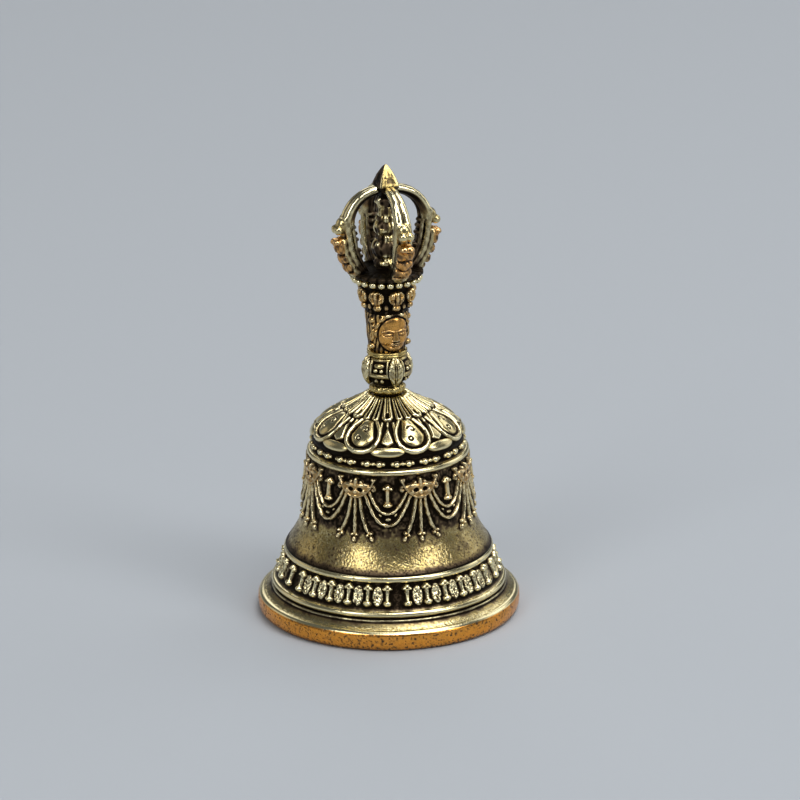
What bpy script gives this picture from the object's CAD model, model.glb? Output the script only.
import functools
import math

import bpy
import numpy as np
from mathutils import Matrix, Vector


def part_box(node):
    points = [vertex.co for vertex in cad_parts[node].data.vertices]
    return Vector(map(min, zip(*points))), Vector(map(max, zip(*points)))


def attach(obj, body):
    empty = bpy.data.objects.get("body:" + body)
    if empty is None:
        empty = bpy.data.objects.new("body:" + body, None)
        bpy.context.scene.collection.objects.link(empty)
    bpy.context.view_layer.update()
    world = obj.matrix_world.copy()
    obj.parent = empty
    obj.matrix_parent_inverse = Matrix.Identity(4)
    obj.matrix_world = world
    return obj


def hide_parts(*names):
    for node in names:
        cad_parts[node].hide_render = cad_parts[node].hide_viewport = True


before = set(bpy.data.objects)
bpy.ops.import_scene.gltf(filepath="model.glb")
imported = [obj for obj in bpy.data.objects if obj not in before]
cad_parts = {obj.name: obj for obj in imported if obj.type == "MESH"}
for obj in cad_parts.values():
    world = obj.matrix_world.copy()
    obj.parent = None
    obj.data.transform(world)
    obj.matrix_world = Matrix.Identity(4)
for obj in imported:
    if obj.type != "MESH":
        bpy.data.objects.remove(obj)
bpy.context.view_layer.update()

# Lengths are in millimetres until a mesh is made; MM turns them into the frame's metres.
MM = 0.001
TAU = 2 * math.pi


def heights(node):
    """Lowest and highest point of a CAD node, in mm."""
    low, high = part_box(node)
    return low[2] / MM, high[2] / MM


def radius_of(node):
    """Half the width of a CAD node that is centred on the bell's axis, in mm."""
    low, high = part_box(node)
    return (high[0] - low[0]) / 2 / MM


# ------------------------ relief drawing

def fold(angle, count):
    """Angle from the nearest of count equal directions, the first of which is 0."""
    pitch = TAU / count
    return (angle + pitch / 2) % pitch - pitch / 2


def fold_between(angle, count):
    """Angle from the nearest middle between two of those directions."""
    return fold(angle + math.pi / count, count)


def unit(value):
    """The value kept between 0 and 1."""
    return np.clip(value, 0, 1)


def highest(*shapes):
    """The highest of several reliefs at each point."""
    return functools.reduce(np.maximum, shapes)


def dome(distance, width):
    """1 on the line or point, falling to 0 at width as a half circle does."""
    return np.sqrt(unit(1 - (distance / width) ** 2))


def blob(x, y, cx, cy, rx, ry, turn=0.0):
    """Half an ellipsoid, 1 high, centred on (cx, cy)."""
    c, s = math.cos(turn), math.sin(turn)
    u = (x - cx) * c + (y - cy) * s
    v = (y - cy) * c - (x - cx) * s
    return np.sqrt(unit(1 - (u / rx) ** 2 - (v / ry) ** 2))


def lumps(x, y, *rows):
    """The highest of several such ellipsoids; each row is a height and blob's numbers."""
    return highest(*(height * blob(x, y, *numbers) for height, *numbers in rows))


def smooth(value, low, high):
    """0 below low, 1 above high, smooth between."""
    t = unit((value - low) / (high - low))
    return t * t * (3 - 2 * t)


def fading(value, low, high):
    """1 below low, 0 above high, smooth between."""
    return 1 - smooth(value, low, high)


def nearest(x, y, points):
    """Distance from each (x, y) to an open line of points, and the length along it."""
    best = np.full(np.broadcast(x, y).shape, 1e9)
    along = np.zeros(best.shape)
    run = 0.0
    for (x0, y0), (x1, y1) in zip(points, points[1:]):
        dx, dy = x1 - x0, y1 - y0
        length = math.hypot(dx, dy)
        t = unit(((x - x0) * dx + (y - y0) * dy) / length ** 2)
        d = np.hypot(x - x0 - t * dx, y - y0 - t * dy)
        near = d < best
        best = np.where(near, d, best)
        along = np.where(near, run + t * length, along)
        run += length
    return best, along


def wire(x, y, points, width, height):
    """A raised line with a round back."""
    return height * dome(nearest(x, y, points)[0], width)


def rope(x, y, points, width, height, lay):
    """A raised line with the slanted turns of a twisted cord."""
    d, along = nearest(x, y, points)
    turns = np.abs(np.sin(math.pi * (along / lay + 0.7 * d / width)))
    return height * dome(d, width) ** 0.8 * (0.8 + 0.2 * turns)


def ring_mark(x, y, cx, cy, r, width, height):
    """A raised circle."""
    return height * dome(np.abs(np.hypot(x - cx, y - cy) - r), width)


def wobble(a, z, size, seed):
    """Smooth hand-made unevenness, the same each run, periodic round the axis."""
    total = 0.0
    for k, (turns, rise) in enumerate(((3, 0.31), (7, 0.53), (13, 0.87), (23, 1.31))):
        total = total + np.sin(turns * a + rise * z + 1.7 * k + seed) / (k + 1)
    return size * total / 2


def grain(a, z, seed, cell=0.3, r=13.0, long=1.0):
    """Seeded noise between -1 and 1, periodic in a, in cells that many mm high."""
    rows, columns = 97, int(TAU * r / cell / long)
    table = np.random.default_rng(int(seed)).uniform(-1, 1, (rows, columns))
    u, v = np.broadcast_arrays(a / TAU * columns, z / cell)
    i, j = np.floor(u).astype(int), np.floor(v).astype(int)
    s, t = u - i, v - j
    s, t = s * s * (3 - 2 * s), t * t * (3 - 2 * t)
    i, j = i % columns, j % rows
    i1, j1 = (i + 1) % columns, (j + 1) % rows
    low = table[j, i] * (1 - s) + table[j, i1] * s
    high = table[j1, i] * (1 - s) + table[j1, i1] * s
    return low * (1 - t) + high * t


# ------------------------ meshes

def arc(cr, cz, r, start, end, count=10):
    """Points on an arc in the (radius, height) plane, degrees."""
    angles = [math.radians(start + (end - start) * i / count) for i in range(count + 1)]
    return [(cr + r * math.cos(t), cz + r * math.sin(t)) for t in angles]


def resampled(points, pitch):
    """The same line in (radius, height) with its points pitch apart."""
    p = np.array(points, float)
    step = np.hypot(*np.diff(p, axis=0).T)
    run = np.concatenate([[0], np.cumsum(step)])
    count = max(2, int(round(run[-1] / pitch)) + 1)
    at = np.linspace(0, run[-1], count)
    return np.stack([np.interp(at, run, p[:, 0]), np.interp(at, run, p[:, 1])], 1), at


def blurred(grid, rows, columns):
    """Box average over rows and columns on each side, wrapped both ways, done twice."""
    for axis, half in 2 * ((0, rows), (1, columns)):
        n, size = grid.shape[axis], 2 * half + 1
        total = np.cumsum(grid.take(range(-half - 1, n + half), axis, mode="wrap"), axis)
        grid = (total.take(range(size, size + n), axis) - total.take(range(n), axis)) / size
    return grid


def new_piece(name, vertices, quads, layers, uv=None):
    """A smooth-shaded object from arrays in mm, with its point layers."""
    mesh = bpy.data.meshes.new(name)
    mesh.vertices.add(len(vertices))
    mesh.vertices.foreach_set("co", (vertices * MM).astype(np.float32).ravel())
    mesh.loops.add(quads.size)
    mesh.loops.foreach_set("vertex_index", quads.astype(np.int32).ravel())
    mesh.polygons.add(len(quads))
    mesh.polygons.foreach_set("loop_start", np.arange(len(quads), dtype=np.int32) * 4)
    mesh.update(calc_edges=True)
    mesh.validate()
    mesh.shade_smooth()
    for layer, values in layers.items():
        data = mesh.attributes.new(layer, "FLOAT", "POINT").data
        data.foreach_set("value", values.astype(np.float32).ravel())
    if uv is not None:
        mesh.uv_layers.new(name="OFBake").data.foreach_set("uv", uv.astype(np.float32).ravel())
    piece = bpy.data.objects.new(name, mesh)
    bpy.context.collection.objects.link(piece)
    return piece


CAVITY = 3, 4       # rows and columns each way over which the hollows are measured
CAVITY_GAIN = 6.0   # how dark a hollow is, and how bright a ridge, per mm


def turned(name, stretches, columns, level=False):
    """A closed surface of revolution with relief.

    Each stretch is (points, pitch, relief): points are (radius, height) in mm, and
    relief(a, z, r, s) gives the height of the relief, the dark between it and, if
    wanted, how warm and how worn bright it is, each on a grid of s along the stretch
    and angle a from the front, rightwards.
    The relief stands square to the line, or level where level is set.
    """
    a = (np.arange(columns) * TAU / columns - math.pi)[None, :]
    base, layers = [], []
    for points, pitch, relief in stretches:
        line, s = resampled(points, pitch)
        line, s = line[:-1], s[:-1]
        found = relief(a, line[:, 1:2], line[:, 0:1], s[:, None]) if relief else ()
        found = (*found, 0.0, 0.0, 0.0, 0.0)[:4]
        base.append(line)
        layers.append([np.broadcast_to(layer, (len(s), columns)) for layer in found])
    base = np.concatenate(base)
    lift, dark, warm, shine = (np.concatenate(layer) for layer in zip(*layers))
    tangent = np.roll(base, -1, 0) - np.roll(base, 1, 0)
    normal = np.stack([-tangent[:, 1], tangent[:, 0]], 1)
    normal /= np.linalg.norm(normal, axis=1)[:, None] + 1e-9
    if level:
        normal = np.array([[1.0, 0.0]])
    r = base[:, 0:1] + lift * normal[:, 0:1]
    z = base[:, 1:2] + lift * normal[:, 1:2]
    vertices = np.stack([r * np.sin(a), -r * np.cos(a), z], 2).reshape(-1, 3)
    hollow = (blurred(lift, *CAVITY) - lift) * CAVITY_GAIN
    layers = {"patina": unit(dark + unit(hollow)), "polish": unit(shine - hollow), "warm": warm}
    rows = len(base)
    i, j = np.arange(rows)[:, None], np.arange(columns)[None, :]
    corners = (0, 0), (1, 0), (1, 1), (0, 1)
    quads = [(i + up) % rows * columns + (j + right) % columns for up, right in corners]
    uv = [np.stack(np.broadcast_arrays(j / columns + right / columns, i / rows + up / rows), 2)
          for up, right in corners]
    return new_piece(name, vertices, np.stack(quads, 2).reshape(-1, 4), layers, np.stack(uv, 2))


def stacked(rings):
    """A closed skin over rings of points, one after another: vertices and triangles."""
    count, sides = rings.shape[:2]
    faces = []
    for i in range(count - 1):
        for j in range(sides):
            a, b = i * sides + j, i * sides + (j + 1) % sides
            faces += [(a, b, b + sides), (a, b + sides, a + sides)]
    last = (count - 1) * sides
    faces += [(0, j + 1, j) for j in range(1, sides - 1)]
    faces += [(last, last + j, last + j + 1) for j in range(1, sides - 1)]
    return rings.reshape(-1, 3), faces


TUBE_SIDES, BEAD_SIDES, BEAD_RINGS = 14, 16, 10
ROUND_END = (0.97, 0.24), (0.7, 0.71)   # how far out and how wide, in radii of the tube


def tube(points, radii):
    """A round-ended tube through points, as vertices and triangles, in mm."""
    p = np.array(points, float)
    radii = np.broadcast_to(np.array(radii, float), (len(p),))
    way = np.gradient(p, axis=0)
    way /= np.linalg.norm(way, axis=1)[:, None]
    ends = [p[0] - way[0] * radii[0] * out for out, _ in ROUND_END]
    tails = [p[-1] + way[-1] * radii[-1] * out for out, _ in ROUND_END[::-1]]
    p = np.concatenate([ends, p, tails])
    way = np.concatenate([way[:1], way[:1], way, way[-1:], way[-1:]])
    radii = np.concatenate([[radii[0] * wide for _, wide in ROUND_END], radii,
                            [radii[-1] * wide for _, wide in ROUND_END[::-1]]])
    first = np.cross(way, (0.0, 0.0, 1.0))
    upright = np.linalg.norm(first, axis=1) < 0.05
    first[upright] = np.cross(way[upright], (0.0, 1.0, 0.0))
    first /= np.linalg.norm(first, axis=1)[:, None]
    second = np.cross(way, first)
    t = np.arange(TUBE_SIDES) * TAU / TUBE_SIDES
    return stacked(p[:, None] + radii[:, None, None] * (
        first[:, None] * np.cos(t)[None, :, None] + second[:, None] * np.sin(t)[None, :, None]))


def bead(centre, rx, ry=None, rz=None):
    """An ellipsoid, as vertices and triangles, in mm."""
    ry, rz = ry or rx, rz or rx
    t = np.arange(BEAD_SIDES) * TAU / BEAD_SIDES
    rings = []
    for i in range(BEAD_RINGS):
        rise = math.pi * (i + 0.5) / BEAD_RINGS
        r = math.sin(rise)
        rings.append(np.stack([rx * r * np.cos(t), ry * r * np.sin(t),
                               np.full(BEAD_SIDES, -rz * math.cos(rise))], 1))
    vertices, faces = stacked(np.array(rings))
    return vertices + np.array(centre), faces


def averaged(values, edges, rounds):
    """Each point's value replaced by its neighbours' mean, part way, some rounds."""
    count = len(values)
    a, b = edges[:, 0], edges[:, 1]
    share = np.bincount(np.concatenate([a, b]), minlength=count)[:, None]
    for _ in range(rounds):
        total = np.stack([np.bincount(a, values[b, k], count) + np.bincount(b, values[a, k], count)
                          for k in range(values.shape[1])], 1)
        values = 0.4 * values + 0.6 * total / share
    return values


def gathered(items, key, each, width, kind=np.int64):
    """A property with that many values for each item of a mesh, in rows of that width."""
    values = np.zeros(len(items) * each, kind)
    items.foreach_get(key, values)
    return values.reshape(-1, width)


def sculpted(parts, voxel, relief):
    """Overlapping parts melted into one closed skin: its points, quads and layers."""
    vertices, faces, start = [], [], 0
    for points, triangles in parts:
        vertices.append(points)
        faces += [tuple(start + i for i in face) for face in triangles]
        start += len(points)
    mesh = bpy.data.meshes.new("rough")
    mesh.from_pydata(np.concatenate(vertices).tolist(), [], faces)
    rough = bpy.data.objects.new("rough", mesh)
    bpy.context.collection.objects.link(rough)
    melt = rough.modifiers.new("melt", "REMESH")
    melt.mode = "VOXEL"
    melt.voxel_size = voxel
    skin = rough.evaluated_get(bpy.context.evaluated_depsgraph_get()).to_mesh()
    points = gathered(skin.vertices, "co", 3, 3, float)
    quads = gathered(skin.loops, "vertex_index", 1, 4)
    edges = gathered(skin.edges, "vertices", 2, 2)
    rough.to_mesh_clear()
    bpy.data.objects.remove(rough)
    bpy.data.meshes.remove(mesh)
    points = averaged(points, edges, 6)
    points = points + relief(points)[:, None] * outward(points, quads)
    normal = outward(points, quads)
    near = ((averaged(points, edges, 6) - points) * normal).sum(1)
    far = ((averaged(points, edges, 60) - points) * normal).sum(1)
    hollow = near * 16 + far * 1.7
    return points, quads, {"patina": unit(hollow), "polish": unit(0.12 - hollow)}


def outward(points, quads):
    """Unit normals at the points of a quad skin."""
    across = points[quads[:, 2]] - points[quads[:, 0]]
    along = points[quads[:, 3]] - points[quads[:, 1]]
    face = np.cross(across, along)
    total = np.zeros_like(points)
    for corner in range(4):
        for axis in range(3):
            total[:, axis] += np.bincount(quads[:, corner], face[:, axis], len(points))
    return total / (np.linalg.norm(total, axis=1)[:, None] + 1e-12)


# ------------------------ materials

def node_of(tree, kind, **values):
    node = tree.nodes.new(kind)
    for key, value in values.items():
        setattr(node, key, value)
    return node


def ramp(tree, source, stops):
    """A colour ramp on source; stops are (place, colour)."""
    node = node_of(tree, "ShaderNodeValToRGB")
    elements = node.color_ramp.elements
    elements[0].position, elements[0].color = stops[0][0], (*stops[0][1], 1)
    elements[1].position, elements[1].color = stops[-1][0], (*stops[-1][1], 1)
    for place, colour in stops[1:-1]:
        elements.new(place).color = (*colour, 1)
    tree.links.new(source, node.inputs[0])
    return node.outputs["Color"]


def noise(tree, coords, scale, detail, rough):
    node = node_of(tree, "ShaderNodeTexNoise")
    node.inputs["Scale"].default_value = scale
    node.inputs["Detail"].default_value = detail
    node.inputs["Roughness"].default_value = rough
    tree.links.new(coords, node.inputs["Vector"])
    return node.outputs["Fac"]


def maths(tree, operation):
    """A function that adds a Math node on two values, each a number or a socket."""
    def add(a, b, clamp=False):
        node = node_of(tree, "ShaderNodeMath", operation=operation, use_clamp=clamp)
        for socket, value in zip(node.inputs, (a, b)):
            if isinstance(value, (int, float)):
                socket.default_value = value
            else:
                tree.links.new(value, socket)
        return node.outputs[0]
    return add


def mixed(tree, factor, a, b):
    """Colours a and b mixed by factor."""
    node = node_of(tree, "ShaderNodeMix", data_type="RGBA")
    tree.links.new(factor, node.inputs["Factor"])
    for socket, value in zip([s for s in node.inputs if s.type == "RGBA"], (a, b)):
        if isinstance(value, tuple):
            socket.default_value = (*value, 1)
        else:
            tree.links.new(value, socket)
    return [s for s in node.outputs if s.type == "RGBA"][0]


OXIDE = (0.010, 0.007, 0.004)
BROWN = (0.11, 0.075, 0.045)
OLIVE = (0.16, 0.125, 0.045)
BRASS = (0.58, 0.44, 0.16)
BRIGHT = (0.95, 0.86, 0.54)
GOLD = (1.0, 0.39, 0.045)


def aged_brass(name, brass=BRASS, speckle=0.4, grain_bump=0.25, dull=0.0):
    """Cast brass: dark oxide in the hollows, worn bright on the relief, pitted between."""
    material = bpy.data.materials.new(name)
    material.use_nodes = True
    tree = material.node_tree
    shader = tree.nodes["Principled BSDF"]
    times, plus, less = (maths(tree, kind) for kind in ("MULTIPLY", "ADD", "SUBTRACT"))
    coords = node_of(tree, "ShaderNodeTexCoord").outputs["Object"]
    patina, polish, warm = (node_of(tree, "ShaderNodeAttribute", attribute_name=layer).outputs["Fac"]
                            for layer in ("patina", "polish", "warm"))
    fine = noise(tree, coords, 9000, 2.0, 0.7)
    pits = noise(tree, coords, 4200, 3.0, 0.75)
    cloud = noise(tree, coords, 420, 3.0, 0.55)
    spots = times(times(less(pits, 0.5, True), 7.0, True), speckle, True)
    stain = times(less(cloud, 0.46, True), 1.6, True)
    aged = plus(spots, times(stain, 0.45), True)
    aged = times(aged, less(1.0, polish, True), True)
    dark = plus(patina, times(times(less(fine, 0.5), 0.5), patina), True)
    body = mixed(tree, warm, brass, GOLD)
    body = mixed(tree, aged, body, OLIVE)
    body = mixed(tree, times(polish, less(0.9, times(warm, 0.4))), body, BRIGHT)
    colour = mixed(tree, times(dark, 1.9, True), body, BROWN)
    colour = mixed(tree, times(less(dark, 0.5, True), 2.2, True), colour, OXIDE)
    tree.links.new(colour, shader.inputs["Base Color"])
    shader.inputs["Metallic"].default_value = 1.0
    rough = plus(plus(times(dark, 0.38), times(aged, 0.22)), 0.2 + dull)
    tree.links.new(less(rough, times(polish, 0.05), True), shader.inputs["Roughness"])
    bump = node_of(tree, "ShaderNodeBump")
    bump.inputs["Strength"].default_value = grain_bump
    bump.inputs["Distance"].default_value = 0.03 * MM
    tree.links.new(pits, bump.inputs["Height"])
    tree.links.new(bump.outputs["Normal"], shader.inputs["Normal"])
    return material


FINISHES = {
    "bell_brass": aged_brass("bell_brass", grain_bump=0.5),
    "handle_brass": aged_brass("handle_brass"),
    "cage_brass": aged_brass("cage_brass", speckle=0.35),
    "inner_brass": aged_brass("fitting_brass", brass=(0.5, 0.4, 0.17), speckle=0.5, dull=0.12),
}


def finish_piece(piece, body, slot_name, node):
    """Gives a piece its finish and its body, and puts it in place of a CAD node."""
    piece.data.materials.append(FINISHES[slot_name])
    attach(piece, body)
    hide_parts(node)


# ------------------------ bell body

lip_r = radius_of("bell_shell")
seat_z = heights("bell_shell")[1]
foot_r = 2.6
dome_low_r, dome_z = 10.95, 26.2  # the petals stand half a millimetre out from this
recess_r = 10.8
shoulder_z = 24.2
ring_r, ring_w = 11.3, 0.42
waist_r, waist_slope = 11.3, 0.135
flare_top_z, flare_base_z, flare_rate = 15.5, 10.05, 0.0585
festoon_low_z = 13.1
high_ridge_z, low_ridge_z = 9.35, 4.85
band_top_r, band_low_r = 14.7, 16.2
low_ring_r = 16.6
lip_round, lip_side_z = 0.75, 2.2  # the rounding of the lip's upper edge, and its foot
wall = 1.5
bore_r = 0.85
crown_in_z, dome_in_z = 30.0, 24.2
crown_in_r = waist_r - wall
REPEATS = 8                     # masks, petals and hanging vajras round the bell
STUDS = 34                      # vajras round the lower band
STUD_TURN = math.radians(1.8)
ROSETTE_TURN = math.radians(6.3)
RECESS_VAJRAS = 16
MASK_Z, VAJRA_Z = 21.9, 20.85   # heights of the masks' brows and of the vajras' middles


def waist_at(z):
    flare = flare_rate * (flare_top_z - z) ** 2 if z < flare_top_z else 0.0
    return waist_r + waist_slope * (shoulder_z - 0.6 - z) + flare


def dome_at(r):
    return (dome_z + 4.85 * (1 - min(1, r / dome_low_r) ** 2) ** 0.6
            + 1.7 * math.exp(-(r - foot_r) / 2.0))


def line(start, end, count, rule):
    """count + 1 points of a rule between two values."""
    return [rule(start + (end - start) * i / count) for i in range(count + 1)]


def petals(a, z, r, s):
    """Eight bordered petals, leaves between them, and a rosette round the handle."""
    up = s.max() - s + wobble(a, z, 0.06, 0.4)
    x = fold(a, REPEATS) * r + wobble(a, z, 0.07, 2.0)
    gap = np.abs(fold_between(a, REPEATS) * r)
    border = [(0.0, 0.62), (0.8, 0.68), (1.6, 1.0), (2.2, 1.65), (2.42, 2.5), (2.3, 3.5),
              (1.98, 4.4), (1.5, 5.2), (1.05, 6.0), (0.72, 6.9)]
    d, along = nearest(np.abs(x), up, border)
    # raised egg inside the border, with a pearl in a ring and a small scroll on it
    egg_d, egg_s = nearest(x, up, [(0, 2.95), (0, 4.2), (0, 5.3)])
    lift = highest(0.5 * dome(d, 0.42 - 0.022 * along),
                   0.5 * dome(egg_d, 1.72 - 0.38 * egg_s) ** 0.6)
    lift = lift - ring_mark(x, up, -0.45, 2.5, 0.3, 0.12, 0.26)
    curl = [(-0.5, 4.2), (-0.1, 4.6), (0.4, 4.5), (0.6, 4.0), (0.32, 3.66), (0.05, 3.85)]
    lift = lift - wire(x, up, curl, 0.12, 0.26)
    # a pointed leaf between two petals, ribs that flank it, and a lens on the edge
    leaf = np.minimum(1.12 - 0.32 * (up - 1.6), (up - 1.5) * 1.8) - gap
    lift = highest(lift, 0.46 * unit(leaf / 0.3) ** 0.5,
                   0.5 * blob(gap, up, 0, 0.74, 2.5, 0.72) ** 0.5,
                   wire(gap, up, [(1.5, 2.2), (1.0, 4.2), (0.78, 5.6)], 0.24, 0.42),
                   wire(gap, up, [(0.0, 5.0), (0.0, 5.6)], 0.2, 0.42))
    # rosette: a looped petal over each gap, and two fluted ones between two loops
    lift = lift * fading(up, 5.9, 6.1)
    loop = np.where(up < 6.75, np.hypot(gap, up - 6.75),
                    gap / (1 - 0.16 * np.clip(up - 6.75, 0, 3)))
    lift = highest(lift, 0.5 * dome(loop - 0.52, 0.31),
                   0.4 * dome(loop, 0.2) * smooth(up, 7.4, 7.7))
    for turn in (-ROSETTE_TURN, ROSETTE_TURN):
        across = np.abs(fold(a - turn, REPEATS) * r)
        strip = np.where(up < 6.55, np.hypot(across, up - 6.55), across)
        flute = 0.34 * dome(across, 0.035 * r) * smooth(up, 6.2, 6.7)
        lift = np.maximum(lift, 0.5 * dome(strip, 0.088 * r) ** 0.7 - flute)
    lift = lift * smooth(up, 0.0, 0.12)
    return lift, 0.97 * fading(lift, 0.14, 0.33), 0.0, 0.4 * smooth(lift, 0.36, 0.46)


def recess(a, z, r, s):
    """Vajras lying in the recess under the petals."""
    x = fold_between(a, RECESS_VAJRAS) * r + wobble(a, z, 0.04, 5.0)
    y = s - 0.42
    balls = [(1.25 * size, place, 0, size * 1.05, size)
             for place, size in ((0.0, 0.28), (0.87, 0.49), (1.46, 0.3))]
    lift = np.maximum(lumps(np.abs(x), y, *balls), wire(x, y, [(-1.3, 0), (1.3, 0)], 0.18, 0.3))
    return lift, fading(lift, 0.04, 0.16)


def mask(x, y):
    """A horned monster mask about its brow, y up: a bowl with upturned, curled ends."""
    ax = np.abs(x)
    low = [(0, -1.14), (0.55, -1.0), (1.1, -0.6), (1.6, 0.05), (1.95, 0.85)]
    horn = [(1.95, 0.85), (2.08, 1.1), (1.98, 1.3), (1.78, 1.24), (1.8, 1.02)]
    tuft = [(1.7, 0.4), (2.05, 0.2), (2.15, -0.1), (1.98, -0.25), (1.85, -0.1)]
    bowl = np.minimum(0.62 - 0.06 * ax - y, (y + 1.3) - 0.62 * ax ** 1.45)
    spike = nearest(x, y, [(0, 0.4), (0, 1.25)])[0]
    lift = highest(0.64 * unit(bowl / 0.3) ** 0.3,
                   0.76 * blob(ax, y, 0.62, 0.36, 0.95, 0.34) ** 0.7,
                   0.74 * blob(ax, y, 0.95, -0.34, 0.5, 0.42, 0.7) ** 0.7,
                   0.84 * blob(ax, y, 0, -0.42, 0.34, 0.42) ** 0.7,
                   0.74 * blob(ax, y, 0, -0.92, 0.6, 0.24) ** 0.7,
                   0.7 * blob(ax, y, 0.55, 0.72, 0.26, 0.26, -0.5),
                   0.8 * dome(spike, 0.48 - 0.22 * np.clip(y, 0, 2)),
                   wire(ax, y, low, 0.17, 0.66), wire(ax, y, horn, 0.2, 0.62),
                   wire(ax, y, tuft, 0.18, 0.5))
    return lift - 0.5 * blob(ax, y, 0.52, -0.14, 0.31, 0.25, -0.2) ** 0.7


def hanging_vajra(x, y):
    """An upright vajra, 3.4 mm tall about its middle, three-lobed above, belled below."""
    return highest(wire(x, y, [(0, -1.2), (0, 1.2)], 0.27, 0.55),
                   lumps(np.abs(x), y, (0.72, 0, 1.3, 0.42, 0.46), (0.62, 0.4, 1.12, 0.27, 0.28),
                         (0.66, 0, -1.3, 0.62, 0.36), (0.5, 0, -0.95, 0.42, 0.4),
                         (0.5, 0, 0.75, 0.36, 0.2)))


def swag(half, top, low):
    """A hanging cord between (-half, top) and (half, top)."""
    return line(-1, 1, 16, lambda t: (half * t, low + (top - low) * abs(t) ** 2.3))


def festoon(a, z, r, s):
    """Masks with cords and tassels hanging from them, and vajras between."""
    y = z + wobble(a, z, 0.08, 1.0)
    sway = wobble(a, z, 0.09, 3.3)
    x = fold(a, REPEATS) * r + sway
    v = fold_between(a, REPEATS) * r + sway
    ax = np.abs(x)
    bare, bare_dark, _, sparkle = waist(a, z, r, s)
    rough = grain(a, z, 51, 0.28)
    frayed = 1 + 0.22 * grain(a, z, 54, 0.45)
    # a dark oval hollow behind each vajra
    oval = fading(np.hypot(v / 1.75, (y - 20.9) / 2.2), 0.85, 1.08)
    ground_lift = bare + 0.05 * rough * smooth(z, 13.9, 15.2) - 0.14 * oval
    outer_cord = [(0.62, 20.6), (0.8, 19.3), (1.15, 17.7), (1.65, 16.3), (2.1, 15.5)]
    lift = highest(ground_lift,
                   rope(v, y, swag(2.62, 21.4, 18.35), 0.23 * frayed, 0.46, 1.3),
                   rope(v, y, swag(3.25, 21.2, 16.65), 0.26 * frayed, 0.5, 1.45),
                   rope(ax, y, outer_cord, 0.25 * frayed, 0.5, 1.5),
                   rope(x, y, [(0, 20.6), (0, 15.4)], 0.25 * frayed, 0.5, 1.1),
                   # a few short ends and knots of cord in the dark between the swags
                   lumps(np.abs(v), y, (0.24, 0, 17.5, 0.5, 0.24),
                         (0.24, 1.1, 18.1, 0.3, 0.18, 0.7)))
    for cx, cy, turn in ((0.0, 15.1, 0.0), (2.25, 15.2, 0.55)):
        c, k = math.cos(turn), math.sin(turn)
        u = (ax - cx) * c + (y - cy) * k
        w = (y - cy) * c - (ax - cx) * k
        drop = lumps(np.abs(u), w, (0.6, 0.32, 0.1, 0.3, 0.27), (0.56, 0, -0.6, 0.3, 0.52))
        lift = np.maximum(lift, drop - 0.24 * dome(np.hypot(u, w + 0.68), 0.14))
    masks = mask(x / 1.28, (y - MASK_Z) / 1.2)
    lift = highest(lift, masks, hanging_vajra(v / 1.22, y - VAJRA_Z))
    lift = lift * smooth(z, 13.2, 13.9) * fading(z, 23.25, 23.5)
    # the dark ground ends in a wavy edge below the tassels
    lower = 14.9 + 0.5 * np.abs(v) / 4 + wobble(a, z, 0.7, 0.7) * 0.4
    ground = smooth(z, lower - 0.8, lower + 0.9)
    open_dark = unit(0.72 - 0.3 * rough + 0.22 * grain(a, z, 52, 0.9)) * ground
    worn_off = 0.3 * smooth(rough, 0.1, 0.8) * fading(lift, 0.5, 0.62)
    dark = np.maximum(open_dark, bare_dark * (1 - ground)) * fading(lift, 0.09, 0.24)
    dark = dark + worn_off * smooth(lift, 0.2, 0.3)
    dark = dark + 0.22 * smooth(masks, 0.3, 0.5) * fading(masks, 0.66, 0.76)
    warm = 0.34 * smooth(lift, 0.2, 0.4) + 0.06 * smooth(masks, 0.4, 0.6)
    return lift, dark, warm, sparkle * (1 - ground)


def plain(a, z, r, s):
    return 0.015 * wobble(a, z, 1.0, 4.0), 0.0


def ring(a, z, r, s):
    """A ridge rubbed bright, with a few nicks."""
    nick = smooth(grain(a, z, 21, 0.5), 0.75, 1.1)
    return 0.02 * wobble(a, z, 1.0, 4.0) - 0.04 * nick, 0.3 * nick, 0.0, 0.75 * (1 - nick)


def waist(a, z, r, s):
    """The bare waist: sparkling casting skin, darker in drifts and towards the ridge."""
    fine = grain(a, z, 41, 0.14)
    pits = smooth(fine + 0.6 * grain(a, z, 42, 0.22), 0.1, 1.0)
    drift = smooth(grain(a, z, 43, 1.7) + 0.5 * grain(a, z, 44, 0.7), 0.0, 1.0)
    low = fading(z, flare_base_z, flare_base_z + 0.9)
    lift = 0.02 * wobble(a, z, 1.0, 4.0) + 0.028 * fine - 0.02 * pits
    dark = unit(0.08 + 0.45 * pits + 0.26 * drift + 0.5 * low)
    return lift, dark, 0.0, 0.5 * smooth(-fine, 0.1, 0.7) * (1 - low)


def dark_groove(a, z, r, s):
    return 0.0, 0.9


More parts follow.
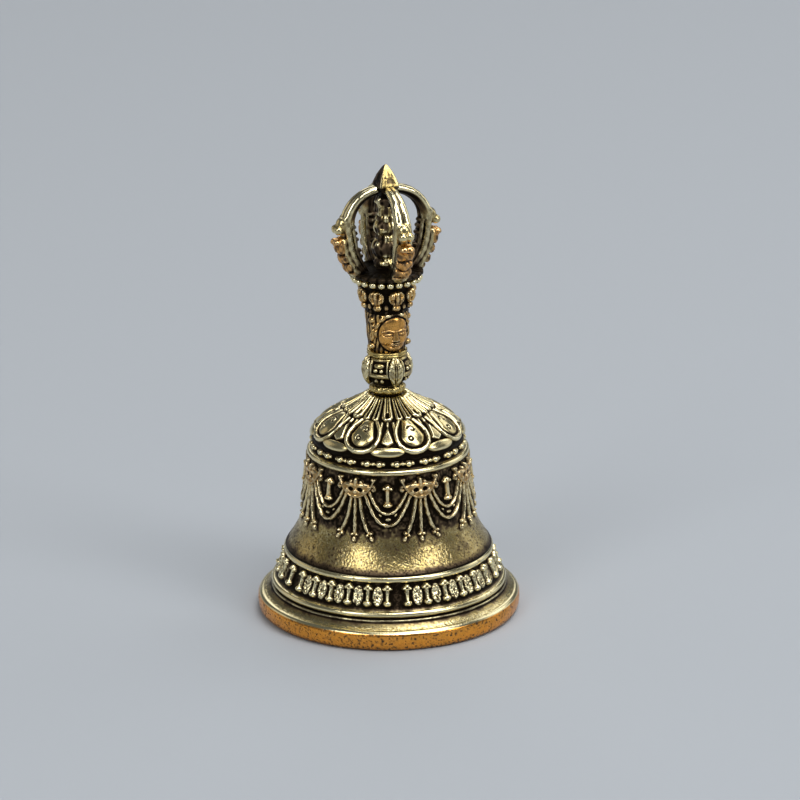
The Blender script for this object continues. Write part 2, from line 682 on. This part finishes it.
def studs(a, z, r, s):
    """Upright vajras standing round the lower band, on a coarse ground."""
    x = fold(a + STUD_TURN + wobble(a, 0 * z, 0.006, 2.2), STUDS) * r / 1.14
    y = s - 1.82 + wobble(a, z, 0.04, 6.0)
    lift = highest(wire(x, y, [(0, -1.0), (0, 1.0)], 0.25, 0.5),
                   lumps(np.abs(x), y, (0.76, 0, -1.3, 0.4, 0.36), (0.68, 0.34, -1.0, 0.32, 0.3),
                         (0.76, 0, 1.16, 0.58, 0.48), (0.44, 0, -0.45, 0.34, 0.22)))
    lift = lift - 0.3 * dome(np.hypot(x, y + 1.05), 0.13)
    stud = smooth(lift, 0.08, 0.24)
    gap = fold_between(a + STUD_TURN, STUDS) * r
    rough = grain(a, z, 61, 0.15, 15.5) + 0.4 * grain(a, z, 64, 0.3, 15.5)
    pad = smooth(blob(gap + 0.06 * rough, y, 0, 0.1, 0.74, 1.45), 0.0, 0.4)
    pad = pad * smooth(np.sin(5 * a - 0.7) + 0.6 * np.sin(11 * a - 3.7), -1.2, -0.3)
    lift = np.maximum(lift, pad * (0.26 + 0.12 * rough)) + 0.02 * rough
    lift = lift * smooth(s, 0.0, 0.15) * smooth(s.max() - s, 0.0, 0.15)
    bright = smooth(rough, -0.75, -0.05)
    ground = unit(0.84 + 0.3 * rough - 1.1 * pad * bright)
    return lift, ground * (1 - stud), 0.0, np.maximum(pad * bright, 0.4 * stud)


def foot_flare(a, z, r, s):
    """The slope between the low ridge and the lip: a step, a dull mottled part, a sheen."""
    out = s / s.max()
    rough = grain(a, s, 62, 0.16, 17.5)
    mottle = smooth(grain(a, s, 63, 0.9, 17.5, 1.8) + 0.6 * grain(a, s, 65, 0.35, 17.5), -0.7, 0.9)
    step = 0.2 * dome(s - 0.5 - 0.04 * wobble(a, z, 1.0, 3.0), 0.18)
    lift = step + 0.018 * rough * smooth(out, 0.1, 0.3) + 0.02 * wobble(a, z, 1.0, 9.0)
    dull = (0.14 + 0.34 * mottle) * fading(out, 0.55, 0.92)
    dark = 0.85 * fading(s, 0.6, 1.05) + dull
    sheen = 0.5 * smooth(out, 0.35, 0.9) * smooth(rough, -0.9, 0.2)
    return lift, unit(dark + 0.14 * rough * (1 - out) - 4.5 * step), 0.0, sheen + 2.5 * step


def lip_side(a, z, r, s):
    """The bare side of the lip: warmer brass with dark pits and long faint marks."""
    pits = smooth(grain(a, z, 31, 0.2, 18.0) + 0.5 * grain(a, z, 32, 0.13, 18.0), 0.25, 0.95)
    marks = smooth(grain(a, z, 33, 0.28, 18.0, 4.0), 0.3, 0.9)
    lift = 0.03 * wobble(a, z, 1.0, 8.0) - 0.035 * pits
    low = fading(z, 0.2, 1.2)
    return lift, unit(0.44 * pits + 0.06 * marks + 0.14 * low), 0.92


def bell_stretches():
    fine, ridge = 0.085, 0.07
    round_r = lip_r - lip_round
    outer = [
        ([(bore_r, seat_z), (foot_r + 0.1, seat_z)], 0.4, None),
        ([(foot_r + 0.1, seat_z)]
         + line(foot_r + 0.3, dome_low_r - 0.01, 60, lambda r: (r, min(seat_z, dome_at(r)))),
         fine, petals),
        ([(dome_low_r - 0.01, dome_z + 0.1), (dome_low_r - 0.02, dome_z - 0.2),
          (recess_r, dome_z - 0.4)], 0.08, dark_groove),
        ([(recess_r, dome_z - 0.4), (recess_r, shoulder_z + 0.42)], fine, recess),
        (arc(ring_r, shoulder_z, ring_w, 85, -70), ridge, ring),
        (line(shoulder_z - 0.55, festoon_low_z, 50, lambda z: (waist_at(z), z)), fine, festoon),
        (line(festoon_low_z, flare_base_z, 20, lambda z: (waist_at(z), z)), fine, waist),
        ([(waist_at(flare_base_z), flare_base_z), (band_top_r + 0.3, high_ridge_z + 0.36)],
         0.1, dark_groove),
        (arc(band_top_r, high_ridge_z, 0.5, 60, -75), ridge, ring),
        ([(band_top_r + 0.1, high_ridge_z - 0.5), (15.3, 7.2), (band_low_r, low_ridge_z + 0.5)],
         fine, studs),
        (arc(low_ring_r, low_ridge_z - 0.12, 0.44, 90, -60), ridge, ring),
        ([(16.82, low_ridge_z - 0.5), (16.78, 4.05), (17.05, 3.7), (lip_r - 1.6, 3.4),
          (lip_r - 1.2, 3.14), (round_r, 2.95)], 0.09, foot_flare),
        (arc(round_r, lip_side_z, lip_round, 90, 30, 10), 0.09, ring),
        (arc(round_r, lip_side_z, lip_round, 30, 0, 4) + [(lip_r + 0.03, 1.6), (lip_r - 0.03, 1.1)]
         + arc(lip_r - 1.0, 0.96, 0.95, 0, -85, 10), 0.14, lip_side),
    ]
    inner = [
        ([(lip_r - 0.9, 0.0), (lip_r - 2.1, 0.0)], 0.3, plain),
        ([(lip_r - 2.1, 0.0), (lip_r - 2.25, 0.12), (lip_r - 2.7, 1.6), (lip_r - 4.1, 4.85)]
         + line(high_ridge_z + 0.5, dome_in_z, 14, lambda z: (waist_at(z) - wall, z))
         + [(crown_in_r * math.cos(t), dome_in_z + (crown_in_z - dome_in_z) * math.sin(t))
            for t in (math.radians(7.5 * i) for i in range(1, 12))]
         + [(bore_r, crown_in_z)], 0.6, turning_marks),
        ([(bore_r, crown_in_z), (bore_r, seat_z)], 0.8, None),
    ]
    return outer + inner


def turning_marks(a, z, r, s):
    """Fine lathe rings and old brown stain inside the bell."""
    away = smooth(r, 2.0, 8.0)
    drift = s + 0.7 * wobble(a, s, 1.0, 6.5)
    stain = grain(a, drift, 81, 2.1) + 0.7 * grain(a, drift, 82, 0.9) + 0.4 * grain(a, s, 84, 0.4)
    stain = smooth(stain, -0.6, 1.4) * away
    rings = 0.02 * np.sin(s * 5.2 + 0.3 * np.sin(3 * a))
    return rings + 0.02 * away * grain(a, s, 83, 0.9), 0.3 + 0.3 * stain


finish_piece(turned("bell_body", bell_stretches(), 960), "bell", "bell_brass", "bell_shell")

# ------------------------ handle

seat_low, foot_top = heights("foot_ring")
knob_low, knob_top = heights("vase_knob")
neck_low, neck_top = heights("neck_ring")
crown_low, crown_top = heights("leaf_crown")
collar_low, collar_top = heights("bead_collar")
spindle_low, spindle_top = heights("central_spindle")
finial_low, finial_top = heights("finial_tip")
hub_r = radius_of("vajra_hub")
FINE = 0.055


def closed(outline, low, high, bore, pitch=FINE):
    """A handle piece's stretches: an outline with its relief, flat ends and a bore."""
    points, relief = outline
    return [([(bore, low), points[0]], 0.3, None), (points, pitch, relief),
            ([points[-1], (bore, high)], 0.3, None),
            ([(bore, high), (bore, low)], 0.6, None)]


def upward(stretches):
    """The same closed outline followed the other way, which turns its faces out."""
    return [(points[::-1], pitch, relief) for points, pitch, relief in stretches[::-1]]


def foot_relief(a, z, r, s):
    """Slanting beads round the fat of the foot ring."""
    x = fold(a + 0.25 * (z - mid_foot), 14) * r
    bead_row = 0.1 * blob(x, z, 0, mid_foot + 0.1, 0.5, 0.5)
    dent = 0.06 * grain(a, z, 72, 0.5, 2.6)
    return bead_row + dent, 0.95 * smooth(np.abs(z - mid_foot + 0.02), 0.66, 0.82)


def knob_relief(a, z, r, s):
    """Four folded leaves with framed, beaded panels between them."""
    y = z - knob_mid
    x = np.abs(fold(a, 4) * r)
    panel = np.abs(fold_between(a, 4) * r)
    lift = highest(lumps(panel, y, (0.3, 0, 0.98, 0.85, 0.36), (0.42, 0.42, 0.34, 0.32, 0.31),
                         (0.34, 0.44, -1.2, 0.29, 0.28)),
                   wire(panel, y, [(1.3, -0.3), (1.16, 1.5)], 0.17, 0.34),
                   0.34 * dome(y + 0.44, 0.3) ** 0.7, 0.26 * dome(y - 1.72, 0.24))
    w = y - 0.12
    room = 1.05 * unit(1 - (np.abs(w) / 2.0) ** 1.7) ** 0.8
    fold_up = 0.6 * dome(x - 0.58 * room, 0.5 * room + 0.01) ** 0.8
    fold_up = fold_up - 0.07 * np.abs(np.sin(3.6 * (w - 1.1 * x))) ** 4
    leaf = np.where(x < room, fold_up, 0.0)
    leaf = np.maximum(leaf, 0.5 * dome(x, 0.11) * (np.abs(w) < 1.9))
    lift = np.where(x < room + 0.16, leaf, lift)
    raised = smooth(lift, 0.06, 0.24)
    stain = 0.3 * smooth(grain(a, z, 78, 0.5, 3.0), -0.1, 0.8)
    return lift, 0.97 * (1 - raised) + stain * raised, 0.0, 0.45 * smooth(lift, 0.3, 0.5)


def face(u, v):
    """A calm, plain face in relief: v = 0 is the eye line, half way up the head."""
    side = np.abs(u)
    lift = 0.2 * blob(side, v, 0.8, -0.7, 0.8, 0.85)
    lift = lift + 0.16 * blob(u, v, 0, 1.35, 1.35, 1.0)
    lift = lift - 0.3 * blob(side, v, 0.66, 0.06, 0.52, 0.4)
    lift = np.maximum(lift, 0.2 * blob(side, v, 0.66, -0.02, 0.38, 0.2))
    lift = lift - wire(side, v, [(0.3, 0.0), (0.66, -0.1), (1.02, 0.02)], 0.07, 0.14)
    lift = lift + wire(side, v, [(0.18, 0.42), (0.62, 0.62), (1.15, 0.42)], 0.17, 0.17)
    nose_width = 0.2 + 0.12 * np.clip(0.3 - v, 0, 1.2)
    nose_height = (0.22 + 0.42 * unit((0.45 - v) / 1.3)) * smooth(v, -1.04, -0.86)
    lift = highest(lift, nose_height * dome(side, nose_width) * (v < 0.6),
                   0.36 * blob(side, v, 0.24, -0.86, 0.17, 0.15))
    lift = lift - 0.12 * blob(u, v, 0, -1.12, 0.1, 0.14)
    lift = np.maximum(lift, lumps(side, v, (0.36, 0.13, -1.3, 0.36, 0.13),
                                  (0.36, 0, -1.58, 0.36, 0.16)))
    lift = lift - wire(side, v, [(0, -1.44), (0.46, -1.42)], 0.07, 0.16)
    return np.maximum(lift, 0.3 * blob(u, v, 0, -2.1, 0.55, 0.36))


def head_relief(a, z, r, s):
    """The face in its oval, hair in strands behind it, ears and ear ornaments."""
    x = a * r / 1.17
    side = np.abs(x)
    v = z - (neck_top + 2.95)
    strand = side * 5.6 + 0.8 * np.sin(1.1 * v + 0.7 * side)
    hair = 0.2 * np.abs(np.sin(strand)) ** 0.7 * (0.85 + 0.15 * np.sin(1.9 * v + 2 * side))
    hair = hair + 0.03 * grain(a, z, 71, 0.4, 3.0)
    oval = np.hypot(x / 2.0, (v + 0.05) / 2.72)
    inside = fading(oval, 0.94, 1.02)
    plate = 0.5 * np.sqrt(unit(1.12 - oval ** 2))
    curls = np.abs(np.cos(np.arctan2(x / 2.0, v / 2.72) * 8))
    band = 0.46 * dome((oval - 1.13) * 2.0, 0.28) * (0.5 + 0.5 * curls) * (v > -0.6)
    lift = highest(hair * (1 - inside) + (plate + 0.95 * face(x / 1.2, v)) * inside, band,
                   0.5 * blob(side, v, 2.75, -0.4, 0.36, 1.1, 0.1))
    lift = lift - 0.2 * blob(side, v, 2.75, -0.15, 0.15, 0.6)
    lift = np.maximum(lift, lumps(side, v, (0.85, 2.85, -2.0, 0.52, 0.52),
                                  (0.5, 2.95, 1.9, 0.55, 0.5), (0.4, 2.7, 1.1, 0.35, 0.3)))
    hollow = fading(lift, 0.05, 0.2)
    rim = dome((oval - 0.98) * 2.0, 0.13)
    dull = 0.25 * smooth(grain(a, z, 75, 0.6, 3.0) + 0.5 * grain(a, z, 79, 0.2, 3.0), 0.0, 0.9)
    return lift, unit(0.9 * hollow * (1 - inside) + 0.95 * rim + dull), 0.36 + 0.24 * inside


def crown_relief(a, z, r, s):
    """Eight drooping fluted leaves, each over a bead, with deep gaps between."""
    top = z - crown_top
    sway = wobble(a, z, 0.08, 1.4)
    x = fold(a, REPEATS) * r + sway
    gap = fold_between(a, REPEATS) * r + sway
    room = 1.12 - 0.2 * unit(-1.6 - top) ** 2
    leaf = np.sqrt(unit(1 - (x / room) ** 2 - (np.abs(top + 1.85) / 1.12) ** 2.6))
    flutes = 0.74 + 0.26 * np.abs(np.cos(x * 5.2 / (1.25 + 0.2 * top)))
    lift = 0.95 * leaf ** 0.7 * flutes
    lift = lift - 0.28 * blob(x, top, 0.42, -1.4, 0.36, 0.42)
    lift = lift - 0.24 * blob(x, top, -0.46, -2.1, 0.32, 0.38)
    lift = highest(lift, 0.78 * blob(x, top, 0.05, -3.3, 0.58, 0.56),
                   lumps(gap, top, (0.42, 0, -3.3, 0.36, 0.5), (0.3, 0, -4.1, 0.3, 0.3)))
    lift = lift * smooth(-top, 0.0, 0.2) + 0.05 * grain(a, z, 76, 0.35, 3.5)
    raised = smooth(lift, 0.14, 0.46)
    stain = 0.32 * smooth(grain(a, z, 70, 0.45, 3.5), -0.1, 0.8)
    return lift, 0.97 * (1 - raised) + stain * raised, 0.4


def collar_relief(a, z, r, s):
    x = fold(a, 23) * r
    lift = 0.76 * blob(x, z, 0, (collar_low + collar_top) / 2 - 0.1, 0.53, 0.54)
    return lift, 0.97 * fading(lift, 0.04, 0.2), 0.0, 0.5 * smooth(lift, 0.3, 0.6)


def hub_relief(a, z, r, s):
    """Small lotus petals on the hollow disc under the cage."""
    x = fold(a, 24) * r
    lift = 0.1 * dome(x, 0.5) * smooth(r, 2.6, 3.4)
    inner = fading(r, hub_r - 1.0, hub_r - 0.5)
    return lift, 0.95 * inner + 0.8 * (1 - inner)


def spindle_relief(a, z, r, s):
    """Eight lobes round the bulbs of the spindle, dark between."""
    leaf = np.abs(np.sin(a * 4))
    rough = grain(a, z, 73, 0.45, 1.2)
    raised = smooth(rough, -0.3, 0.5)
    return 0.34 + 0.12 * leaf + 0.14 * rough, 0.62 - 0.6 * raised, 0.0, 0.5 * raised * leaf


def square_relief(a, z, r, s):
    """Pushes a round outline out to a square that faces the four prongs, a little pitted."""
    corner = (np.abs(np.cos(a)) ** 16 + np.abs(np.sin(a)) ** 16) ** (-1 / 16)
    pits = smooth(grain(a, z, 74, 0.35, 1.5), 0.2, 0.9) * smooth(r, 0.5, 1.2)
    across = np.abs(np.tan(fold(a, 4))) * r
    panel = fading(across + 0.5 * (z - 63.9) + 0.25 * grain(a, z, 77, 0.4, 1.5), 0.5, 0.95)
    panel = panel * smooth(z, 63.7, 64.2)
    stained = smooth(-np.sin(a), 0.68, 0.74)
    lift = r * (corner - 1) * 0.94 - 0.05 * pits - 0.06 * panel
    return lift, unit(0.3 * pits + 0.34 * panel + 0.6 * stained
                      + 0.75 * fading(z, 63.2, 63.7))


mid_foot = seat_low + 1.15
foot_line = ([(2.0, seat_low), (1.95, seat_low + 0.2)] + arc(foot_r - 0.82, mid_foot, 0.8, -60, 60)
             + [(2.1, foot_top - 0.15), (2.2, foot_top)], foot_relief)
knob_mid, knob_half = (knob_low + knob_top) / 2, (knob_top - knob_low) / 2
knob_r = radius_of("vase_knob") - 0.36
knob_line = (line(-1, 1, 40, lambda t: (knob_r - 1.0 * abs(t) ** 2.4, knob_mid + knob_half * t)),
             knob_relief)
neck_r = radius_of("neck_ring")
neck_line = (arc(neck_r - 0.24, neck_low + 0.22, 0.21, -80, 60, 8)
             + arc(neck_r - 0.24, neck_top - 0.22, 0.21, -60, 80, 8), plain)
head_line = ([(2.35, neck_top), (2.55, neck_top + 0.5), (2.72, neck_top + 2),
              (2.85, neck_top + 4), (3.0, crown_low)], head_relief)
crown_line = ([(3.0, crown_low), (3.1, crown_low + 0.8), (3.35, crown_low + 2.2),
               (3.65, crown_top - 0.6), (3.85, crown_top)], crown_relief)
collar_line = ([(4.45, collar_low - 0.2), (4.45, collar_top)], collar_relief)
hub_line = ([(hub_r - 0.35, collar_top), (hub_r - 0.1, collar_top + 0.05)]
            + arc(hub_r - 0.22, collar_top + 0.26, 0.22, -60, 80, 8)
            + [(4.4, collar_top + 0.42), (2.6, collar_top + 0.7), (1.4, spindle_low)], hub_relief)
spindle_line = ([(1.3, spindle_low), (1.45, 52.2), (1.1, 52.6)] + arc(0.3, 54.2, 1.35, -60, 50)
                + [(0.95, 55.6), (1.15, 55.9), (0.9, 56.2)] + arc(0.3, 57.3, 0.95, -50, 50)
                + [(0.8, 58.4), (1.05, 58.7), (0.8, 59.0), (0.95, 59.8), (0.75, 60.5),
                   (1.0, 60.9), (1.2, spindle_top)], spindle_relief)
finial_line = ([(1.1, finial_low), (1.1, 62.5), (1.25, 63.0), (1.48, 63.3), (1.56, 63.6),
                (1.36, 64.2), (1.1, 64.9), (0.84, 65.4), (0.54, 65.95), (0.26, finial_top - 0.14),
                (0.1, finial_top - 0.02), (0.04, finial_top)], square_relief)

SOLID = 0.03   # the bore of a piece that has none, too fine to see
HANDLE = [
    ("foot_ring_beaded", foot_line, 480, bore_r, "foot_ring"),
    ("vase_knob_carved", knob_line, 560, bore_r, "vase_knob"),
    ("neck_ring_double", neck_line, 240, bore_r, "neck_ring"),
    ("crowned_head", head_line, 640, bore_r, "head"),
    ("crown_of_leaves", crown_line, 640, bore_r, "leaf_crown"),
    ("collar_of_beads", collar_line, 720, bore_r, "bead_collar"),
    ("cage_disc", hub_line, 360, bore_r, "vajra_hub"),
    ("spindle_turned", spindle_line, 160, SOLID, "central_spindle"),
    ("finial_roof", finial_line, 200, SOLID, "finial_tip"),
]
for name, outline, columns, bore, node in HANDLE:
    low, high = heights(node)
    piece = turned(name, upward(closed(outline, low, high, bore)), columns,
                   level=node == "finial_tip")
    finish_piece(piece, "bell", "handle_brass" if high <= collar_top else "cage_brass", node)

# ------------------------ prongs

CAGE_Z, REACH, RISE, SQUARE = 57.0, 7.0, 6.65, 0.85   # the blade's middle line
NECK = ((7.0, 55.9), (6.85, 55.0), (6.45, 53.9), (5.85, 52.7), (5.2, 51.6), (4.8, 51.1))
FOLDS = (51.45, 49.85, 48.45)   # how far up the neck's slope its three clefts lie
STRANDS = (                     # the outer and the inner strand beside the neck: x, y, z, radius
    ((6.4, 0.7, 59.2, 0.5), (6.15, 0.95, 57.6, 0.46), (5.95, 1.02, 56.2, 0.44),
     (5.75, 0.98, 55.0, 0.46), (5.35, 0.92, 53.7, 0.44), (4.7, 0.86, 52.5, 0.4),
     (3.9, 0.75, 51.4, 0.3)),
    ((5.75, 0.5, 59.3, 0.2), (5.3, 0.7, 57.6, 0.27), (5.05, 0.75, 56.1, 0.3),
     (4.8, 0.72, 54.7, 0.28), (4.3, 0.66, 53.3, 0.28), (3.6, 0.6, 52.0, 0.26),
     (3.1, 0.55, 51.3, 0.2)))


def prong_parts():
    """One prong in its own plane: x out from the axis, y across, z up, all in mm."""
    blade = []
    for i in range(19):
        t = math.radians(9 + 70 * i / 18)
        half = 1.32 - 0.46 * (i / 18) ** 0.8
        blade.append((math.cos(t) ** SQUARE, math.sin(t) ** SQUARE, half))

    def rail(across, size, depth):
        """A tube along the blade, depth in from its outer face, in half widths."""
        return tube([((REACH - depth * h) * c, across * h, CAGE_Z + (RISE - depth * h) * k)
                     for c, k, h in blade], [size * h for _, _, h in blade])

    parts = [rail(y, 0.64, 0.64) for y in (-0.4, 0.4)]
    parts += [rail(y, 0.3, 1.1) for y in (-0.5, 0.5)]
    parts += [rail(0.0, 0.4, 0.8), rail(0.0, 0.34, 1.28)]
    # a bulging brow, nostrils, and the open mouth with a knobbed lower lip
    parts.append(bead((6.75, 0, 58.35), 0.9, 1.12, 1.15))
    parts += [bead((7.45, y, 57.75), 0.72, 0.72, 0.66) for y in (0.5, -0.5)]
    parts += [bead((7.7, y, 56.0), 0.62, 0.72, 0.5) for y in (0.4, -0.4)]
    # the neck sweeps down to the disc in three soft folds
    for y, size in ((0.0, 0.86), (0.5, 0.76), (-0.5, 0.76)):
        parts.append(tube([(x - 0.2 * abs(y), y, z) for x, z in NECK], size))
    parts.append(tube([(6.2, 0, 58.6), (6.3, 0, 57.3), (6.3, 0, 56.2), (6.1, 0, 55.0)], 0.8))
    # strands run on from the blade, inside the neck, and narrow towards the disc
    for side in (-1, 1):
        parts += [tube([(x, y * side, z) for x, y, z, _ in strand], [r for *_, r in strand])
                  for strand in STRANDS]
        for x, z, size in ((4.8, 57.0, 0.34), (3.95, 53.6, 0.32)):
            parts.append(bead((x, 0.3 * side, z), size))
    for x, z in ((5.0, 57.9), (4.65, 56.05), (4.25, 54.4)):
        parts.append(bead((x, 0, z), 0.42, 0.72, 0.32))
    parts.append(tube([(5.9, 0, 59.4), (5.5, 0, 58.0), (5.35, 0, 56.4), (5.0, 0, 54.6),
                       (4.4, 0, 52.9), (3.8, 0, 51.6)], 0.56))
    return parts


def neck_face(p):
    """1 on the outer face of the neck, 0 elsewhere."""
    x, _, z = p.T
    reach, rise = zip(*NECK[::-1])
    outer = smooth(x - np.interp(z, rise, reach), 0.0, 0.4)
    return outer * smooth(z, 50.9, 51.3) * fading(z, 55.6, 56.1)


def prong_relief(p):
    """Uneven casting skin, and wavy clefts between the folds of the neck."""
    x, y, z = p.T
    skin = np.sin(4.1 * x + 3.3 * y) * np.sin(3.7 * z - 2.9 * y)
    up = 0.45 * x + 0.89 * z + 0.12 * np.sin(3.4 * y + 1.7 * z)
    cleft = sum(dome(np.abs(up - fold_at), 0.26) for fold_at in FOLDS)
    swell = np.abs(np.sin(math.pi * (up - FOLDS[0]) / (FOLDS[0] - FOLDS[1])))
    inner = fading(x, 6.0, 6.6)
    sway = np.sin(4.1 * z + 2.4 * x) * inner * fading(z, 58.6, 59.6)
    return (0.015 * skin + 0.026 * sway
            + neck_face(p) * (0.015 * skin + 0.24 * swell - 0.3 * cleft))


def blade_depth(p):
    """How far in from the blade's outer face each point lies, in mm."""
    x, z = np.clip(p[:, 0], 0, None) / REACH, np.clip(p[:, 2] - CAGE_Z, 0, None) / RISE
    return REACH * (1 - (x ** (2 / SQUARE) + z ** (2 / SQUARE)) ** (SQUARE / 2))


def prong_finish(p, quads, layers):
    """The prong's layers: a worn double strand, a dark back, a copper neck and jaw."""
    x, y, z = p.T
    facing_side = smooth(np.abs(outward(p, quads)[:, 1]), 0.45, 0.9)
    blade = smooth(z, 58.6, 60.0)
    depth = blade_depth(p)
    strand = blade * fading(depth, 0.6, 0.9)
    shadow = blade * smooth(depth, 0.75, 0.95)
    edge = blade * smooth(depth, 1.15, 1.4)
    groove = blade * fading(np.abs(y), 0.02, 0.14)
    neck = neck_face(p)
    jaw = smooth(x, 6.6, 7.1) * fading(z, 56.6, 57.0)
    inward = fading(np.abs(y) + x, 5.2, 6.6)
    flank = (1 - blade) * (1 - neck) * fading(x, 6.5, 6.9)
    blotch = smooth(np.sin(5.1 * x + 2.0 * np.sin(3.7 * y)) * np.sin(4.3 * z + 2.6 * y), -0.8, 1.0)
    patina = layers["patina"] * (1 - 0.5 * strand + 0.5 * flank)
    return {
        "warm": np.clip(0.7 * neck + 0.6 * jaw + 0.7 * edge, 0, 0.75),
        "patina": unit(patina + 0.12 * facing_side * (1 - strand)
                       + 0.5 * shadow * (1 - 0.7 * edge) + 0.8 * groove
                       + 0.4 * inward * (1 - strand) + neck * (0.06 + 0.42 * blotch)
                       + 0.2 * flank * blotch),
        "polish": unit(layers["polish"] * (1 - 0.5 * neck) + 0.6 * strand - groove - shadow
                       + 0.3 * flank)}


prong_points, prong_quads, prong_layers = sculpted(prong_parts(), 0.085, prong_relief)
prong_layers = prong_finish(prong_points, prong_quads, prong_layers)
for direction, degrees in (("front", 270), ("right", 0), ("back", 90), ("left", 180)):
    turn = math.radians(degrees)
    c, k = math.cos(turn), math.sin(turn)
    x, y, z = prong_points.T
    placed = np.stack([x * c - y * k, x * k + y * c, z], 1)
    piece = new_piece("cast_prong_" + direction, placed, prong_quads, prong_layers)
    finish_piece(piece, "bell", "cage_brass", "prong_" + direction)

# ------------------------ inner parts

ball_low, ball_top = heights("striker_ball")
ball_z, ball_r = (ball_low + ball_top) / 2, (ball_top - ball_low) / 2


def ball_relief(a, z, r, s):
    """A casting seam over the ball, a worn band where it strikes, and small dents."""
    seam = 0.07 * dome(np.abs(fold(a, 2)) * r, 0.14)
    struck = fading(np.abs(z - ball_z), 0.5, 1.1)
    away = smooth(r, 0.8, 2.4)
    dents = smooth(grain(a, s, 91, 0.8, 3.6), 0.3, 1.0) * away
    lift = seam * (1 - struck) - 0.06 * dents + 0.01 * away * grain(a, s, 92, 0.25, 3.6)
    stain = smooth(grain(a, s, 93, 1.3, 3.6), -0.2, 1.0) * away
    return lift, unit(0.25 * dents + 0.5 * stain) * (1 - struck), 0.0, 0.5 * struck


ball_line = arc(0.03, ball_z, ball_r, -89, 89, 40)
ball = turned("striker_ball_cast", upward(closed(
    (ball_line, ball_relief), ball_low, ball_top, 0.02, 0.09)), 220)
finish_piece(ball, "clapper", "inner_brass", "striker_ball")
for node in ("tie_stud", "crown_washer", "hanger_nut", "hanger_eye", "link_ring",
             "clapper_rod"):
    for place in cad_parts[node].material_slots:
        place.material = FINISHES["inner_brass"]

# ------------------------ stage, light and camera

VIEW_AZIMUTH, VIEW_ELEVATION, VIEW_DISTANCE = -22.5, 18.5, 650
AIM_Z, AIM_RIGHT = 31.4, 1.8
LENS = 203.6
ROLL = math.radians(-0.4)
LIT_Z = 30                       # the height that the lights face
FLOOR_R, FLOOR_SIDES = 1100, 128
FLOOR_GREY = (0.388, 0.414, 0.444)
PALE = (0.33, 0.352, 0.375)      # the world up to the horizon
DIM = (0.11, 0.1175, 0.125)      # and above it


def direction_of(azimuth, elevation):
    """From the bell towards the place that a camera at those angles has."""
    a, e = math.radians(azimuth), math.radians(elevation)
    return Vector((math.sin(a) * math.cos(e), -math.cos(a) * math.cos(e), math.sin(e)))


def softbox(name, azimuth, elevation, distance, width, height, glow, colour=(1, 1, 1)):
    """An area light that faces the bell from a direction given as the camera's is."""
    light = bpy.data.lights.new(name, "AREA")
    light.shape = "RECTANGLE"
    light.size, light.size_y = width * MM, height * MM
    light.energy = glow * math.pi * light.size * light.size_y
    light.color = colour
    lamp = bpy.data.objects.new(name, light)
    away = direction_of(azimuth, elevation)
    lamp.location = away * distance * MM + Vector((0, 0, LIT_Z * MM))
    lamp.rotation_euler = away.to_track_quat("Z", "Y").to_euler()
    bpy.context.collection.objects.link(lamp)


def floor():
    mesh = bpy.data.meshes.new("floor")
    turns = [TAU * i / FLOOR_SIDES for i in range(FLOOR_SIDES)]
    corners = [(FLOOR_R * MM * math.cos(t), FLOOR_R * MM * math.sin(t), 0) for t in turns]
    mesh.from_pydata(corners, [], [tuple(range(FLOOR_SIDES))])
    plane = bpy.data.objects.new("floor", mesh)
    bpy.context.collection.objects.link(plane)
    material = bpy.data.materials.new("pale_floor")
    material.use_nodes = True
    shader = material.node_tree.nodes["Principled BSDF"]
    shader.inputs["Base Color"].default_value = (*FLOOR_GREY, 1)
    shader.inputs["Roughness"].default_value = 0.85
    mesh.materials.append(material)


def camera():
    data = bpy.data.cameras.new("camera")
    data.lens = LENS
    data.clip_start = 0.01
    data.clip_end = 50
    eye = bpy.data.objects.new("camera", data)
    away = direction_of(VIEW_AZIMUTH, VIEW_ELEVATION)
    right = direction_of(VIEW_AZIMUTH + 90, 0)
    aim = Vector((0, 0, AIM_Z)) + right * AIM_RIGHT
    eye.location = (aim + away * VIEW_DISTANCE) * MM
    level = away.to_track_quat("Z", "Y").to_matrix()
    eye.rotation_euler = (level @ Matrix.Rotation(ROLL, 3, "Z")).to_euler()
    bpy.context.collection.objects.link(eye)
    bpy.context.scene.camera = eye


# the softboxes: azimuth, elevation, distance, width, height, glow
softbox("key_left", -60, 36, 1400, 500, 900, 4.0)
softbox("key_right", 33, 34, 1400, 460, 900, 4.0)
softbox("front_top", 12, 64, 1300, 800, 520, 5.6)
softbox("overhead", 115, 74, 1400, 800, 600, 4.0)
softbox("side_right", 92, 18, 1500, 900, 900, 0.8)
softbox("high_right", 114, 38, 1500, 800, 500, 1.5)
softbox("side_left", -135, 20, 1500, 900, 800, 0.45, (1.0, 0.9, 0.75))
softbox("back_rim", 160, 32, 1500, 900, 700, 1.3)


def studio_world():
    """Dark above, and pale up to the horizon, where it goes on from the floor."""
    world = bpy.data.worlds.new("studio")
    bpy.context.scene.world = world
    world.use_nodes = True
    tree = world.node_tree
    direction = node_of(tree, "ShaderNodeTexCoord").outputs["Generated"]
    split = node_of(tree, "ShaderNodeSeparateXYZ")
    tree.links.new(direction, split.inputs[0])
    colour = ramp(tree, split.outputs["Z"], [(0.05, PALE), (0.16, DIM)])
    background = tree.nodes["Background"]
    tree.links.new(colour, background.inputs["Color"])
    background.inputs["Strength"].default_value = 1.0


floor()
studio_world()
camera()
bpy.context.scene.view_settings.view_transform = "Standard"
